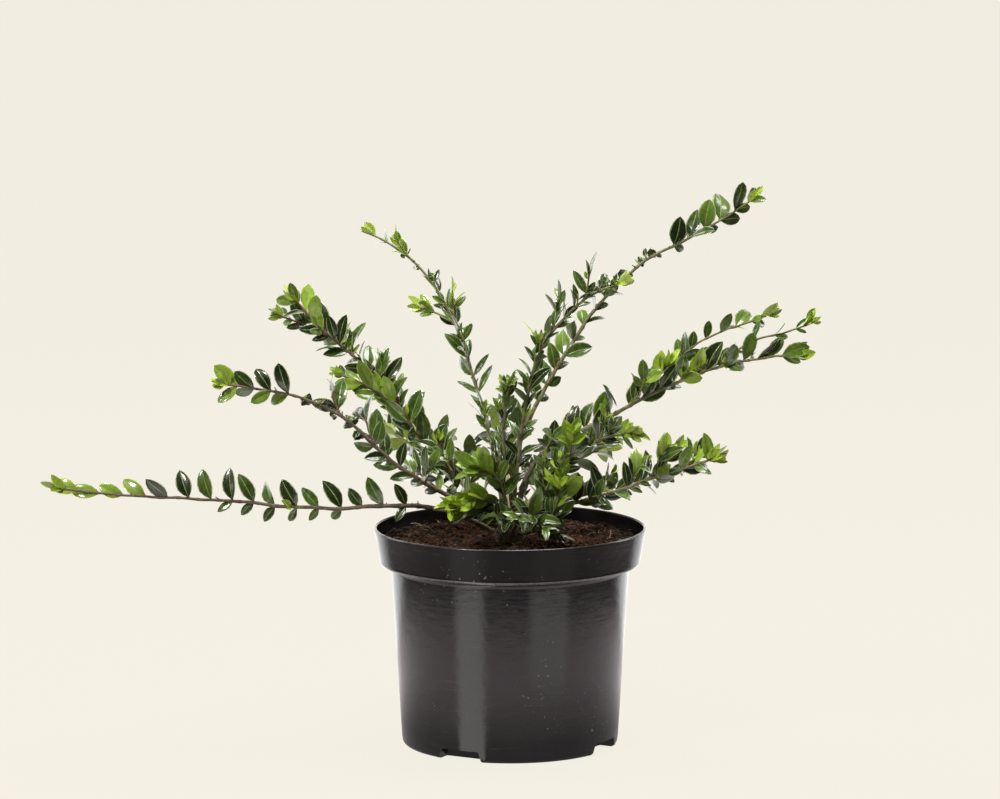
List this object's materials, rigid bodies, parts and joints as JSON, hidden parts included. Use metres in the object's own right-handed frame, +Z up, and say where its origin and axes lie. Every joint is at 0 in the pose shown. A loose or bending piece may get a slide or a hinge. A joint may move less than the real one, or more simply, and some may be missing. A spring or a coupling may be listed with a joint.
{
  "type": "potted privet honeysuckle shrub",
  "caption": "Young evergreen shrub with spreading stems and small glossy opposite leaves, standing in a round black nursery pot with a stepped rim.",
  "frame": {"origin": "centre of the pot's flat underside", "axes": "+Z up, +X to the right and -Y to the front, as seen in the picture"},
  "size_m": [0.488, 0.2614, 0.3472],
  "materials": {
    "pot": "semi-gloss black moulded plastic, lightly scuffed",
    "soil": "loose dark brown potting soil with bark fibres",
    "bark": "thin grey-brown bark",
    "foliage": "glossy dark green leaves, yellow-green at the shoot tips"
  },
  "bodies": {
    "root": {"pot": "pot", "soil": "soil", "foot": "bark", "bough_low_left": "bark", "bough_left": "bark", "bough_upper_left": "bark", "bough_high_left": "bark", "bough_middle": "bark", "bough_inner_right": "bark", "bough_high_right": "bark", "bough_right": "bark", "bough_right_lower": "bark", "bough_low_right": "bark", "bough_front_left": "bark", "bough_front_upright": "bark", "bough_front": "bark", "bough_front_right": "bark", "bough_back_left": "bark", "bough_back": "bark", "bough_back_right": "bark", "bough_far_right": "bark", "leaves_low_left": "foliage", "leaves_left": "foliage", "leaves_upper_left": "foliage", "leaves_high_left": "foliage", "leaves_middle": "foliage", "leaves_inner_right": "foliage", "leaves_high_right": "foliage", "leaves_right": "foliage", "leaves_right_lower": "foliage", "leaves_low_right": "foliage", "leaves_front_left": "foliage", "leaves_front_upright": "foliage", "leaves_front": "foliage", "leaves_front_right": "foliage", "leaves_back_left": "foliage", "leaves_back": "foliage", "leaves_back_right": "foliage", "leaves_far_right": "foliage"}
  },
  "joints": []
}
